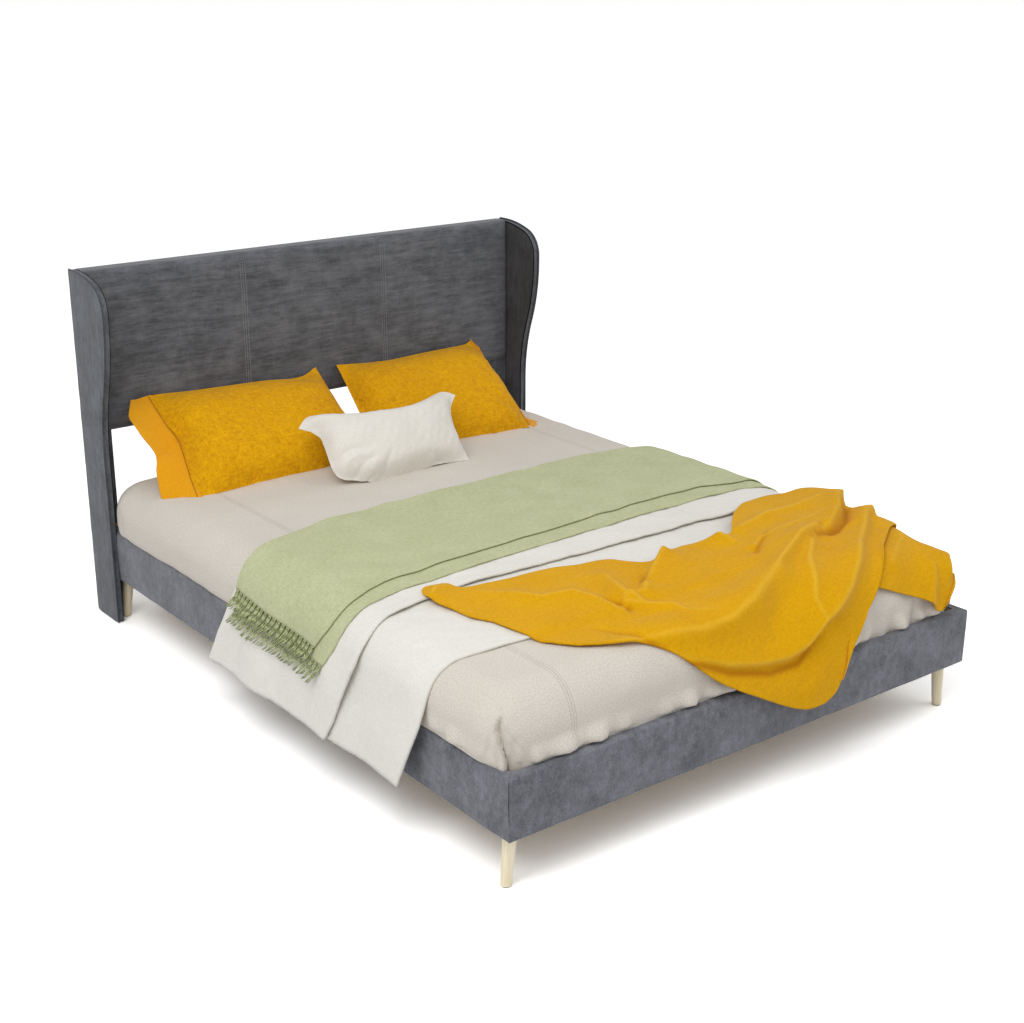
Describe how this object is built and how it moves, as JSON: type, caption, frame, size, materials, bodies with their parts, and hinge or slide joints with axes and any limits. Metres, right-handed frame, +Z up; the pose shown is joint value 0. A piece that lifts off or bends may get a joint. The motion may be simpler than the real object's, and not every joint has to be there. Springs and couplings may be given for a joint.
{
  "type": "upholstered bed",
  "caption": "upholstered wingback bed on splayed wooden legs, made up with a fitted sheet, duvet, fringed throw, rumpled blanket, pillows and a small cushion",
  "frame": {"origin": "on the floor, at the centre of the whole bed's bounding box", "axes": "+X to the right seen from the foot end, +Y from the foot end towards the headboard, +Z up"},
  "size_m": [1.7416, 2.222, 1.128],
  "materials": {
    "frame_wood": "planed softwood",
    "leg_wood": "clear satin lacquer on pale hardwood",
    "velvet": "short brushed pile",
    "velvet_piping": "short brushed pile over a cord",
    "zinc_steel": "zinc plated",
    "black_steel": "satin black",
    "nylon": "matte",
    "foam": "open foam",
    "lining": "woven lining",
    "webbing": "woven band",
    "ticking": "woven ticking",
    "sheet_linen": "heathered plain weave",
    "cushion_lining": "plain cotton",
    "orange_linen": "slubbed linen weave",
    "white_cotton": "fine cotton",
    "white_duvet": "soft brushed cotton",
    "green_weave": "soft brushed weave",
    "green_fringe": "twisted yarn",
    "yellow_fleece": "short fleece pile"
  },
  "bodies": {
    "bed_frame": {"headboard_post_left": "frame_wood", "headboard_post_right": "frame_wood", "headboard_battens": "frame_wood", "headboard_board": "frame_wood", "wing_left_core": "frame_wood", "wing_right_core": "frame_wood", "side_rail_left": "frame_wood", "side_rail_right": "frame_wood", "foot_rail": "frame_wood", "head_rail": "frame_wood", "ledger_left": "frame_wood", "ledger_right": "frame_wood", "corner_blocks": "frame_wood", "centre_beam": "frame_wood", "support_leg_foot": "frame_wood", "support_leg_head": "frame_wood", "slats": "frame_wood", "headboard_dowels": "frame_wood", "leg_foot_left": "leg_wood", "leg_foot_right": "leg_wood", "leg_head_left": "leg_wood", "leg_head_right": "leg_wood", "headboard_cover": "velvet", "wing_left_cover": "velvet", "wing_right_cover": "velvet", "side_rail_left_cover": "velvet", "side_rail_right_cover": "velvet", "foot_rail_cover": "velvet", "corner_bolts": "zinc_steel", "head_rail_bolts": "zinc_steel", "wing_bolts": "zinc_steel", "ledger_screws": "zinc_steel", "leg_bolts": "zinc_steel", "hanger_bolts": "zinc_steel", "support_studs": "zinc_steel", "wing_left_piping": "velvet_piping", "wing_right_piping": "velvet_piping", "beam_hangers": "black_steel", "leg_plates": "black_steel", "leg_glides": "nylon", "headboard_glides": "nylon", "headboard_foam": "foam", "headboard_back_cloth": "lining", "slat_straps": "webbing"},
    "mattress": {"mattress": "ticking", "fitted_sheet": "sheet_linen"},
    "pillow_left": {"pillow_left": "cushion_lining", "pillow_left_case": "orange_linen"},
    "pillow_right": {"pillow_right": "cushion_lining", "pillow_right_case": "orange_linen"},
    "lumbar_cushion": {"lumbar_cushion": "cushion_lining", "lumbar_cushion_cover": "white_cotton"},
    "duvet": {"duvet": "white_duvet"},
    "throw": {"throw": "green_weave", "throw_fringe": "green_fringe"},
    "blanket": {"blanket": "yellow_fleece"},
    "levelling_foot_foot": {"levelling_foot_foot": "zinc_steel"},
    "levelling_foot_head": {"levelling_foot_head": "zinc_steel"}
  },
  "joints": [
    {"name": "mattress_lift", "type": "slide", "parent": "bed_frame", "child": "mattress", "axis": [0, 0, 1], "range_m": [0, 0.3]},
    {"name": "pillow_left_lift", "type": "slide", "parent": "mattress", "child": "pillow_left", "axis": [0, 0, 1], "range_m": [0, 0.4]},
    {"name": "pillow_right_lift", "type": "slide", "parent": "mattress", "child": "pillow_right", "axis": [0, 0, 1], "range_m": [0, 0.4]},
    {"name": "lumbar_cushion_lift", "type": "slide", "parent": "mattress", "child": "lumbar_cushion", "axis": [0, 0, 1], "range_m": [0, 0.4]},
    {"name": "duvet_lift", "type": "slide", "parent": "mattress", "child": "duvet", "axis": [0, 0, 1], "range_m": [0, 0.45]},
    {"name": "throw_lift", "type": "slide", "parent": "duvet", "child": "throw", "axis": [0, 0, 1], "range_m": [0, 0.35]},
    {"name": "blanket_lift", "type": "slide", "parent": "duvet", "child": "blanket", "axis": [0, 0, 1], "range_m": [0, 0.4]},
    {"name": "levelling_foot_foot_screw", "type": "slide", "parent": "bed_frame", "child": "levelling_foot_foot", "axis": [0, 0, -1], "range_m": [0, 0.012]},
    {"name": "levelling_foot_head_screw", "type": "slide", "parent": "bed_frame", "child": "levelling_foot_head", "axis": [0, 0, -1], "range_m": [0, 0.012]}
  ]
}
